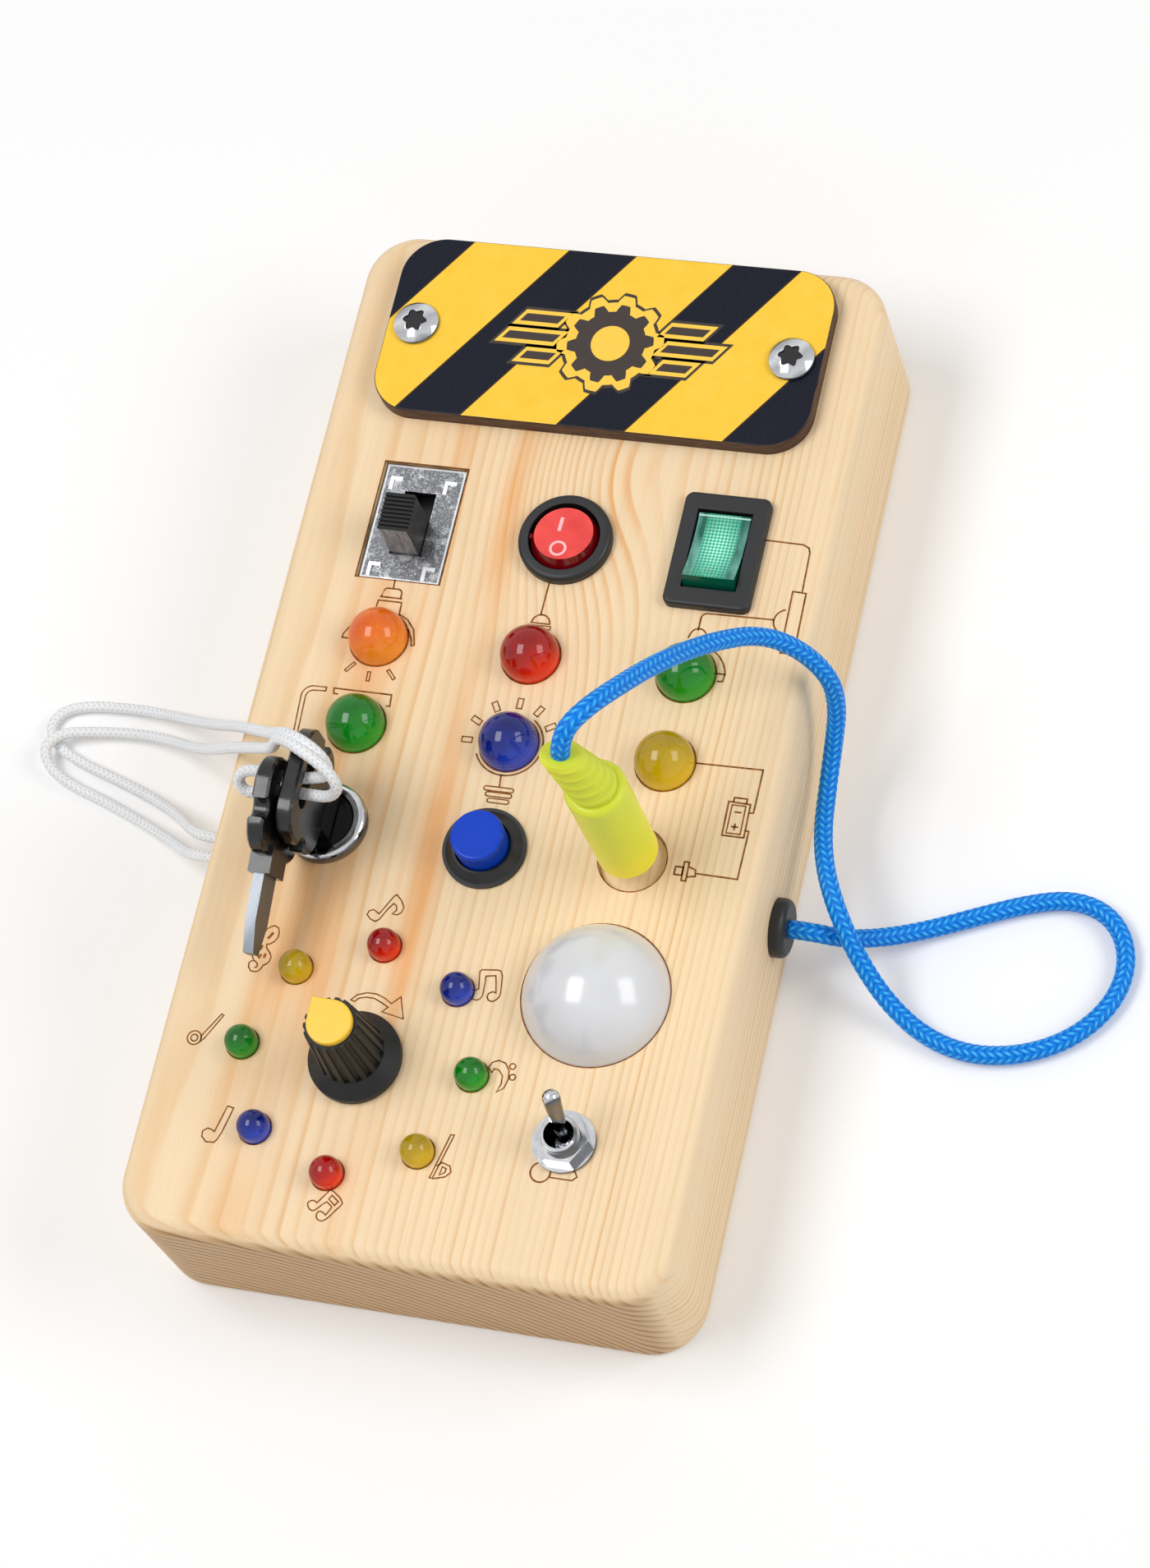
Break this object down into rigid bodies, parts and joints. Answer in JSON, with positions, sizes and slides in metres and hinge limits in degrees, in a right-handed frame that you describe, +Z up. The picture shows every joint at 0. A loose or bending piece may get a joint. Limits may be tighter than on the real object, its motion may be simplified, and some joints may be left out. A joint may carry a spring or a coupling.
{
  "type": "wooden busy board",
  "caption": "Pine busy board with switches, lamps, a knob, a lock with keys, a jack plug on a cord, a toggle and a night light.",
  "frame": {"origin": "centre of the underside of the pine block", "axes": "+Z up through the face, +Y towards the sign along the long side, +X to the plug's side"},
  "size_m": [0.1989, 0.1854, 0.0756],
  "materials": {
    "pine": "oiled",
    "plywood": "plain",
    "sign": "painted",
    "screw_steel": "satin",
    "black_plastic": "satin",
    "nickel": "mottled",
    "red_lens": "translucent",
    "green_lens": "translucent",
    "orange_lamp": "translucent",
    "red_lamp": "translucent",
    "green_lamp": "translucent",
    "blue_lamp": "translucent",
    "yellow_lamp": "translucent",
    "circuit_board": "soldermask",
    "battery": "gloss",
    "knob_cap": "gloss",
    "blue_cap": "gloss",
    "lime_plastic": "soft gloss",
    "milky_dome": "milky",
    "chrome": "polished",
    "blue_braid": "braided",
    "white_braid": "braided"
  },
  "bodies": {
    "root": {"wood_body": "pine", "back_cover": "plywood", "back_cover_screws": "screw_steel", "battery_door": "plywood", "battery_door_screws": "screw_steel", "battery_box": "black_plastic", "battery_cells": "battery", "battery_contacts": "nickel", "sign_plate": "sign", "sign_screws": "screw_steel", "slide_switch_plate": "nickel", "slide_switch_base": "black_plastic", "round_rocker_body": "black_plastic", "green_rocker_body": "black_plastic", "led_orange": "orange_lamp", "led_red": "red_lamp", "led_green_right": "green_lamp", "led_green_left": "green_lamp", "led_blue": "blue_lamp", "led_yellow": "yellow_lamp", "ring_leds_red": "red_lamp", "ring_leds_yellow": "yellow_lamp", "ring_leds_green": "green_lamp", "ring_leds_blue": "blue_lamp", "ring_board": "circuit_board", "rotary_switch_body": "black_plastic", "push_button_body": "black_plastic", "push_button_nut": "screw_steel", "plug_socket": "black_plastic", "dome_lens": "milky_dome", "dome_board": "circuit_board", "toggle_body": "nickel", "toggle_washer": "nickel", "toggle_nut": "chrome", "lock_body": "chrome", "lock_nut": "screw_steel", "cord_outlet_right": "black_plastic", "cord_outlet_left": "black_plastic", "white_cord_a": "white_braid", "white_cord_b": "white_braid"},
    "slide_knob": {"slide_knob": "black_plastic"},
    "round_rocker": {"round_rocker_lens": "red_lens"},
    "green_rocker": {"green_rocker_lens": "green_lens"},
    "knob": {"knob": "black_plastic", "knob_cap": "knob_cap", "rotary_shaft": "screw_steel"},
    "push_cap": {"push_button_cap": "blue_cap"},
    "plug": {"plug_body": "lime_plastic", "plug_strain_relief": "lime_plastic", "plug_pin": "nickel", "blue_cord": "blue_braid"},
    "toggle": {"toggle_lever": "chrome"},
    "lock_key": {"lock_rotor": "black_plastic", "key_head": "black_plastic", "key_blade": "nickel", "spare_key_head": "black_plastic", "spare_key_blade": "nickel", "white_cord_bight": "white_braid"}
  },
  "joints": [
    {"name": "slide_switch_travel", "type": "slide", "parent": "root", "child": "slide_knob", "axis": [0, 1, 0], "range_m": [0, 0.0046]},
    {"name": "round_rocker_tilt", "type": "hinge", "parent": "root", "child": "round_rocker", "pos_m": [0.0014, 0.0365, 0.0292], "axis": [1, 0, 0], "range_deg": [0, 12]},
    {"name": "green_rocker_tilt", "type": "hinge", "parent": "root", "child": "green_rocker", "pos_m": [0.028, 0.0371, 0.0287], "axis": [1, 0, 0], "range_deg": [0, 18]},
    {"name": "knob_turn", "type": "hinge", "parent": "root", "child": "knob", "pos_m": [-0.01215, -0.05935, 0.029], "axis": [0, 0, 1], "range_deg": [-315, 0]},
    {"name": "push_button_press", "type": "slide", "parent": "root", "child": "push_cap", "axis": [0, 0, -1], "range_m": [0, 0.0025], "stiffness_N_per_m": 400},
    {"name": "plug_pull", "type": "slide", "parent": "root", "child": "plug", "axis": [0, 0, 1], "range_m": [0, 0.025]},
    {"name": "toggle_tilt", "type": "hinge", "parent": "root", "child": "toggle", "pos_m": [0.0253, -0.0682, 0.0285], "axis": [1, 0, 0], "range_deg": [0, 25.4]},
    {"name": "lock_turn", "type": "hinge", "parent": "root", "child": "lock_key", "pos_m": [-0.0275, -0.0195, 0.029], "axis": [0, 0, 1], "range_deg": [-90, 0]}
  ]
}
